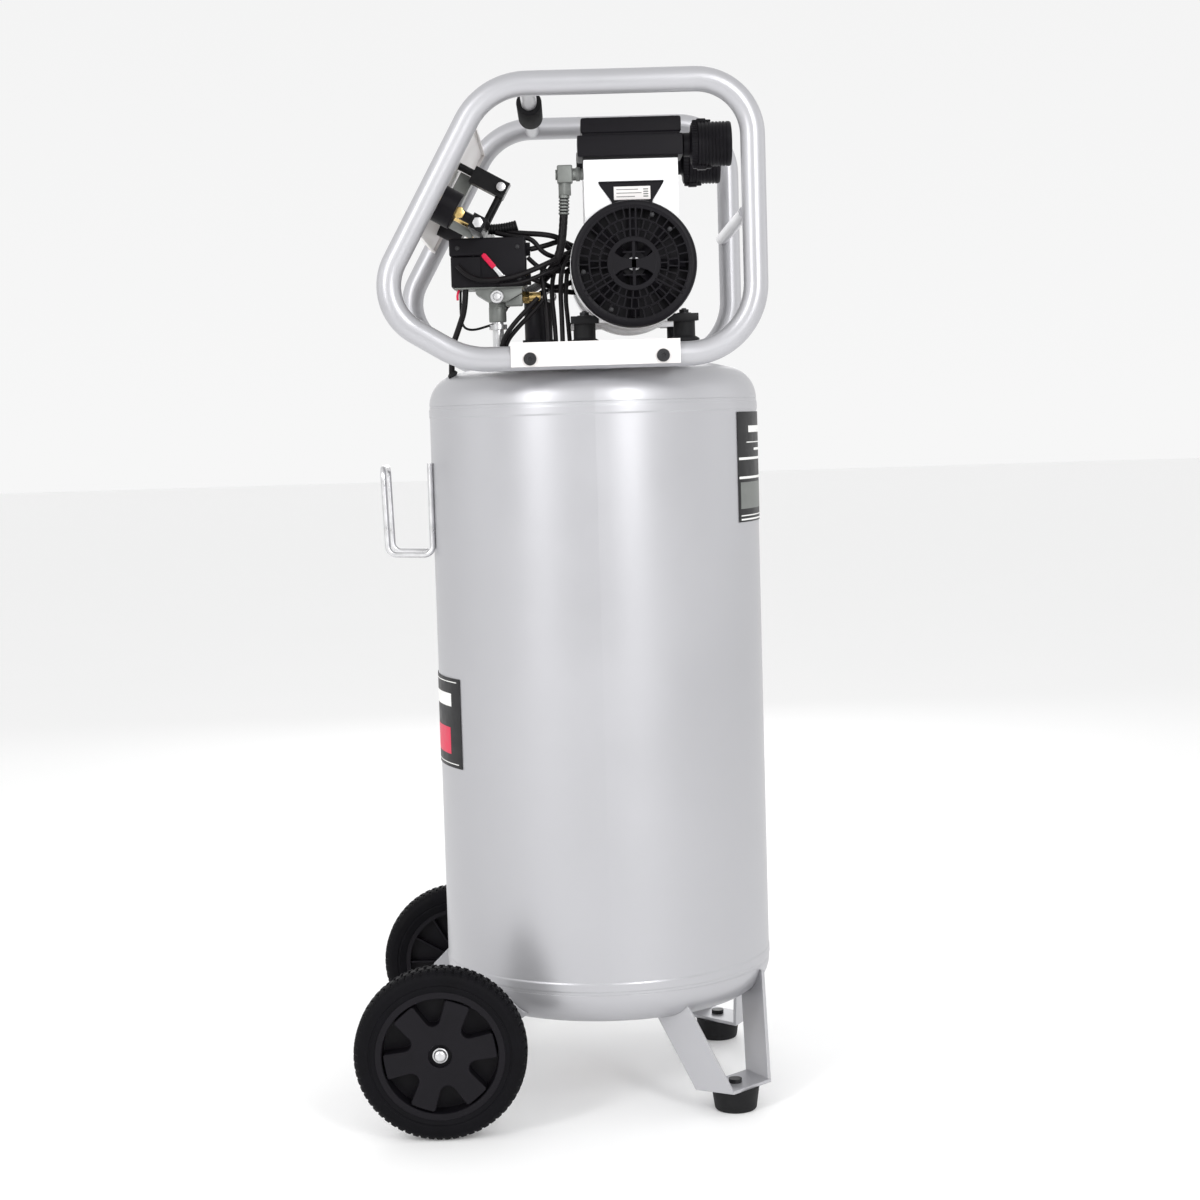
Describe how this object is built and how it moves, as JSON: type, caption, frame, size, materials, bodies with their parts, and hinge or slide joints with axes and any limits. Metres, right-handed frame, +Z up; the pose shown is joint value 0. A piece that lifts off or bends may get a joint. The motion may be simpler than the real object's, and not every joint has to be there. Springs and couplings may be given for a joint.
{
  "type": "air compressor",
  "caption": "Upright wheeled air compressor: vertical receiver tank, tubular cage with a twin oil-free pump, pressure switch and slanted control panel, bent legs and wheels.",
  "frame": {"origin": "on the floor, under the middle of the machine's bounding box", "axes": "+Z up, +X to the operator's right along the wheel axle, the control panel and the wheels at -Y, the two legs at +Y"},
  "size_m": [0.5, 0.5086, 1.2333],
  "materials": {
    "tank_paint": "satin metallic silver paint over steel",
    "tray_paint": "smooth warm off-white powder coat on steel sheet",
    "zinc": "zinc-plated steel",
    "black_bolt": "black oxide steel",
    "rubber": "moulded black rubber",
    "tyre": "solid rubber tyre with a fine block tread",
    "foam": "dense black foam grip",
    "black_plastic": "fine-textured black moulding",
    "brass": "turned brass",
    "steel": "machined steel",
    "cast_silver": "bright silver painted die casting",
    "die_cast": "grey zinc die casting",
    "black_metal": "black anodised block with plated plugs",
    "red_lever": "red moulding",
    "dial_white": "white printed dial",
    "needle": "black painted pointer",
    "lens": "clear flat lens",
    "aluminium": "machined aluminium",
    "cable": "black rubber sheath"
  },
  "bodies": {
    "frame": {"tank_shell": "tank_paint", "tank_top_head": "tank_paint", "tank_bottom_head": "tank_paint", "drain_valve_body": "brass", "rear_legs": "tank_paint", "rubber_feet": "rubber", "axle_brackets": "tank_paint", "axle": "zinc", "axle_caps": "zinc", "side_loop_right": "tank_paint", "side_loop_left": "tank_paint", "top_crossbar": "tank_paint", "rear_crossbar": "tank_paint", "handle_grip": "foam", "tray": "tray_paint", "frame_bolts": "black_bolt", "saddle_bracket": "tank_paint", "hose_hook": "zinc", "control_panel": "tray_paint", "gauge_cases": "black_plastic", "gauge_dials": "dial_white", "gauge_lenses": "lens", "regulator_body": "die_cast", "coupler_bodies": "brass", "air_manifold": "black_metal", "tank_nipple": "zinc", "switch_base": "die_cast", "switch_cover": "black_plastic", "cable_glands": "black_plastic", "safety_valve_body": "brass", "check_valve": "brass", "crankcases": "cast_silver", "bearings": "steel", "cylinder_liners": "aluminium", "valve_plates": "steel", "cylinder_heads": "black_plastic", "air_filters": "black_plastic", "motor_can": "cast_silver", "motor_stator": "steel", "fan_covers": "black_plastic", "rubber_mounts": "rubber", "discharge_tubes": "die_cast", "cables": "cable", "capacitor": "black_plastic"},
    "drain_handle": {"drain_valve_handle": "red_lever"},
    "wheel_right": {"wheel_rim_right": "black_plastic", "tyre_right": "tyre"},
    "wheel_left": {"wheel_rim_left": "black_plastic", "tyre_left": "tyre"},
    "tank_needle": {"tank_gauge_needle": "needle"},
    "outlet_needle": {"outlet_gauge_needle": "needle"},
    "regulator_knob": {"regulator_knob": "black_plastic"},
    "sleeve_right": {"coupler_sleeve_right": "steel"},
    "sleeve_left": {"coupler_sleeve_left": "steel"},
    "switch_lever": {"switch_lever": "red_lever"},
    "safety_ring": {"safety_valve_ring": "steel"},
    "rotor": {"crankshaft": "steel", "cooling_fans": "black_plastic"},
    "piston_right": {"piston_right": "aluminium"},
    "piston_left": {"piston_left": "aluminium"}
  },
  "joints": [
    {"name": "wheel_right_spin", "type": "hinge", "parent": "frame", "child": "wheel_right", "pos_m": [0.229, -0.1527, 0.1016], "axis": [1, 0, 0], "continuous": true},
    {"name": "wheel_left_spin", "type": "hinge", "parent": "frame", "child": "wheel_left", "pos_m": [-0.229, -0.1527, 0.1016], "axis": [1, 0, 0], "continuous": true},
    {"name": "motor_spin", "type": "hinge", "parent": "frame", "child": "rotor", "pos_m": [0, 0.102, 1.016], "axis": [1, 0, 0], "continuous": true},
    {"name": "piston_right_stroke", "type": "slide", "parent": "frame", "child": "piston_right", "axis": [0, 0, 1], "range_m": [-0.008, 0.008]},
    {"name": "piston_left_stroke", "type": "slide", "parent": "frame", "child": "piston_left", "axis": [0, 0, 1], "range_m": [-0.008, 0.008]},
    {"name": "switch_lever_turn", "type": "hinge", "parent": "frame", "child": "switch_lever", "pos_m": [0.0901, -0.054, 1.0067], "axis": [1, 0, 0], "range_deg": [0, 40]},
    {"name": "regulator_knob_turn", "type": "hinge", "parent": "frame", "child": "regulator_knob", "pos_m": [0, -0.14855, 1.10624], "axis": [0, -0.8732, 0.4874], "range_deg": [-360, 360]},
    {"name": "tank_needle_turn", "type": "hinge", "parent": "frame", "child": "tank_needle", "pos_m": [-0.13, -0.13982, 1.10137], "axis": [0, -0.8732, 0.4874], "range_deg": [-270, 0]},
    {"name": "outlet_needle_turn", "type": "hinge", "parent": "frame", "child": "outlet_needle", "pos_m": [0.13, -0.13982, 1.10137], "axis": [0, -0.8732, 0.4874], "range_deg": [-270, 0]},
    {"name": "coupler_right_sleeve", "type": "slide", "parent": "frame", "child": "sleeve_right", "axis": [0, -0.8732, 0.4874], "range_m": [-0.004, 0], "stiffness_N_per_m": 800, "springref_m": 0.002},
    {"name": "coupler_left_sleeve", "type": "slide", "parent": "frame", "child": "sleeve_left", "axis": [0, -0.8732, 0.4874], "range_m": [-0.004, 0], "stiffness_N_per_m": 800, "springref_m": 0.002},
    {"name": "safety_ring_pull", "type": "slide", "parent": "frame", "child": "safety_ring", "axis": [0, 1, 0], "range_m": [0, 0.004], "stiffness_N_per_m": 600, "springref_m": -0.002},
    {"name": "drain_handle_turn", "type": "hinge", "parent": "frame", "child": "drain_handle", "pos_m": [-0.012, 0.032, 0.0815], "axis": [1, 0, 0], "range_deg": [0, 90]}
  ]
}
